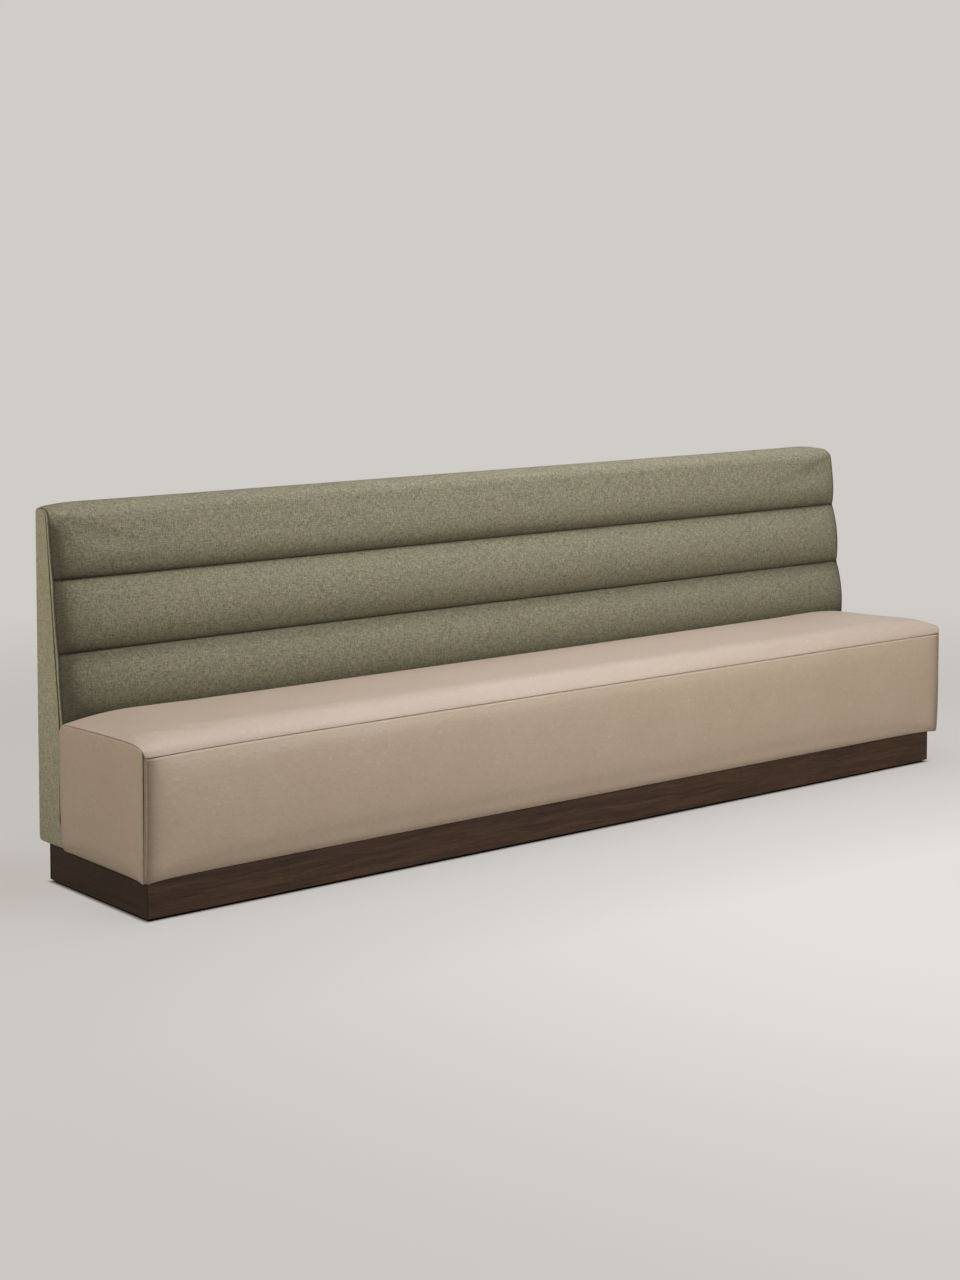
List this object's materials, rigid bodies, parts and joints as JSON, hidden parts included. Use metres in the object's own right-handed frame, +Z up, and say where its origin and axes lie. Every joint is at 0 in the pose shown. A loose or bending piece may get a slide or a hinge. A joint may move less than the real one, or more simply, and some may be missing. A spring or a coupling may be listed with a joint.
{
  "type": "upholstered banquette bench",
  "caption": "Long free-standing banquette bench: leather seat box with a crowned top, raked fabric back sewn in horizontal channels, recessed dark wood plinth on levelling glides.",
  "frame": {"origin": "on the floor, under the middle of the bench's box", "axes": "+X along the bench towards the end that is on the right when seen from the front, -Y to the front, +Z up"},
  "size_m": [3.134, 0.59, 1.05],
  "materials": {
    "plinth_wood": "dark stained, satin",
    "frame_wood": "raw plywood",
    "leather": "smooth fine-grained, semi-matt",
    "back_fabric": "melange weave, matt",
    "foam": "open-cell foam",
    "zinc_steel": "zinc-plated",
    "glide_pad": "moulded nylon"
  },
  "bodies": {
    "bench": {"plinth_front_board": "plinth_wood", "plinth_rear_board": "plinth_wood", "plinth_left_board": "plinth_wood", "plinth_right_board": "plinth_wood", "plinth_cross_rails": "frame_wood", "plinth_foot_blocks": "frame_wood", "foot_inserts": "zinc_steel", "plinth_brackets": "zinc_steel", "bracket_screws": "zinc_steel", "seat_base_board": "frame_wood", "seat_front_board": "frame_wood", "seat_rear_board": "frame_wood", "seat_left_board": "frame_wood", "seat_right_board": "frame_wood", "seat_ribs": "frame_wood", "seat_deck_board": "frame_wood", "seat_top_foam": "foam", "seat_front_foam": "foam", "seat_left_foam": "foam", "seat_right_foam": "foam", "seat_top_cover": "leather", "seat_front_cover": "leather", "seat_left_cover": "leather", "seat_right_cover": "leather", "seat_corner_strips": "leather", "back_bolts": "zinc_steel", "back_bolt_washers": "zinc_steel", "back_bolt_nuts": "zinc_steel", "back_end_ribs": "frame_wood", "back_inner_ribs": "frame_wood", "back_top_rail": "frame_wood", "back_bottom_rail": "frame_wood", "back_face_board": "frame_wood", "back_rear_board": "frame_wood", "back_lower_foam": "foam", "back_middle_foam": "foam", "back_upper_foam": "foam", "back_end_wadding": "foam", "back_front_cover": "back_fabric", "back_left_cover": "back_fabric", "back_right_cover": "back_fabric", "back_rear_cover": "back_fabric"},
    "foot_1": {"foot_1_pad": "glide_pad", "foot_1_stud": "zinc_steel"},
    "foot_2": {"foot_2_pad": "glide_pad", "foot_2_stud": "zinc_steel"},
    "foot_3": {"foot_3_pad": "glide_pad", "foot_3_stud": "zinc_steel"},
    "foot_4": {"foot_4_pad": "glide_pad", "foot_4_stud": "zinc_steel"},
    "foot_5": {"foot_5_pad": "glide_pad", "foot_5_stud": "zinc_steel"},
    "foot_6": {"foot_6_pad": "glide_pad", "foot_6_stud": "zinc_steel"},
    "foot_7": {"foot_7_pad": "glide_pad", "foot_7_stud": "zinc_steel"},
    "foot_8": {"foot_8_pad": "glide_pad", "foot_8_stud": "zinc_steel"}
  },
  "joints": [
    {"name": "foot_1_screw", "type": "slide", "parent": "bench", "child": "foot_1", "axis": [0, 0, -1], "range_m": [0, 0.012]},
    {"name": "foot_2_screw", "type": "slide", "parent": "bench", "child": "foot_2", "axis": [0, 0, -1], "range_m": [0, 0.012]},
    {"name": "foot_3_screw", "type": "slide", "parent": "bench", "child": "foot_3", "axis": [0, 0, -1], "range_m": [0, 0.012]},
    {"name": "foot_4_screw", "type": "slide", "parent": "bench", "child": "foot_4", "axis": [0, 0, -1], "range_m": [0, 0.012]},
    {"name": "foot_5_screw", "type": "slide", "parent": "bench", "child": "foot_5", "axis": [0, 0, -1], "range_m": [0, 0.012]},
    {"name": "foot_6_screw", "type": "slide", "parent": "bench", "child": "foot_6", "axis": [0, 0, -1], "range_m": [0, 0.012]},
    {"name": "foot_7_screw", "type": "slide", "parent": "bench", "child": "foot_7", "axis": [0, 0, -1], "range_m": [0, 0.012]},
    {"name": "foot_8_screw", "type": "slide", "parent": "bench", "child": "foot_8", "axis": [0, 0, -1], "range_m": [0, 0.012]}
  ]
}
